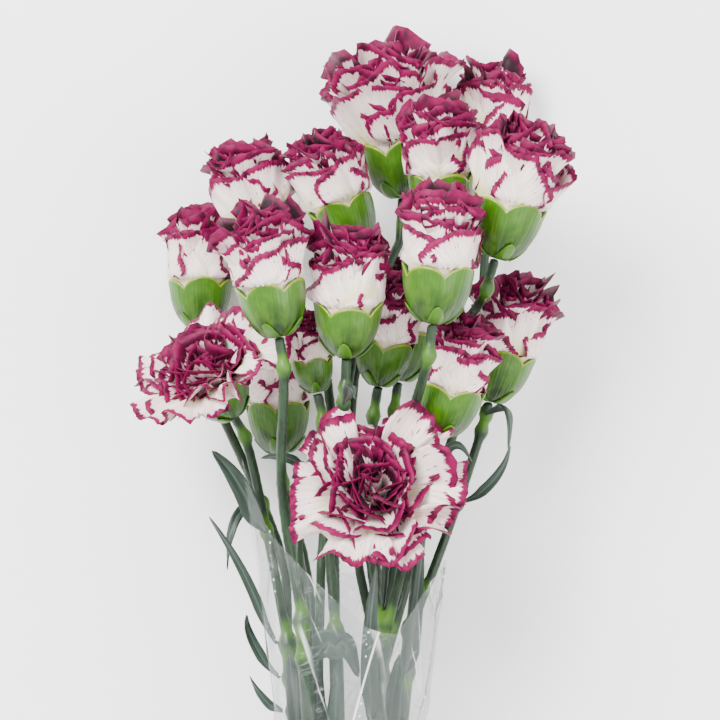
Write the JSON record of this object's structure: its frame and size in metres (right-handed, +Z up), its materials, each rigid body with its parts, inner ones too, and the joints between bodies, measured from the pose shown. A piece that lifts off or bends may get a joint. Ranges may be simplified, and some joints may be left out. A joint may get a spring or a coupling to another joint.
{
  "type": "bunch of cut carnations",
  "caption": "Bunch of cut spray carnations with branching stems, held by a rubber band inside an open clear film sleeve, lying on its back.",
  "frame": {"origin": "on the surface the bunch lies on, under the middle of its bounding box", "axes": "+Y along the bunch from the cut ends to the flowers, +Z up from the surface, +X to the right of the bunch seen from above with the flowers away"},
  "size_m": [0.1226, 0.3738, 0.0945],
  "materials": {
    "petal": "soft petals, white with a toothed magenta margin",
    "calyx": "smooth waxy green",
    "stem": "smooth green with a pale bloom",
    "leaf": "grey-green with a pale bloom",
    "film": "clear glossy film",
    "band": "tan rubber"
  },
  "bodies": {
    "root": {"flower_1_calyx": "calyx", "flower_1_petals": "petal", "flower_2_calyx": "calyx", "flower_2_petals": "petal", "flower_3_calyx": "calyx", "flower_3_petals": "petal", "flower_4_calyx": "calyx", "flower_4_petals": "petal", "flower_5_calyx": "calyx", "flower_5_petals": "petal", "flower_6_calyx": "calyx", "flower_6_petals": "petal", "flower_7_calyx": "calyx", "flower_7_petals": "petal", "flower_8_calyx": "calyx", "flower_8_petals": "petal", "flower_9_calyx": "calyx", "flower_9_petals": "petal", "flower_10_calyx": "calyx", "flower_10_petals": "petal", "flower_11_calyx": "calyx", "flower_11_petals": "petal", "flower_12_calyx": "calyx", "flower_12_petals": "petal", "flower_13_calyx": "calyx", "flower_13_petals": "petal", "flower_14_calyx": "calyx", "flower_14_petals": "petal", "flower_15_calyx": "calyx", "flower_15_petals": "petal", "flower_16_calyx": "calyx", "flower_16_petals": "petal", "flower_17_calyx": "calyx", "flower_17_petals": "petal", "flower_18_calyx": "calyx", "flower_18_petals": "petal", "stem_1": "stem", "stem_2": "stem", "stem_3": "stem", "stem_4": "stem", "stem_5": "stem", "stem_6": "stem", "stem_7": "stem", "leaf_1": "leaf", "leaf_2": "leaf", "leaf_3": "leaf", "leaf_4": "leaf", "leaf_5": "leaf", "leaf_6": "leaf", "leaf_7": "leaf", "leaf_8": "leaf", "leaf_9": "leaf", "leaf_10": "leaf", "leaf_11": "leaf", "leaf_12": "leaf", "leaf_13": "leaf", "leaf_14": "leaf", "leaf_15": "leaf", "sleeve": "film", "rubber_band": "band"}
  },
  "joints": []
}
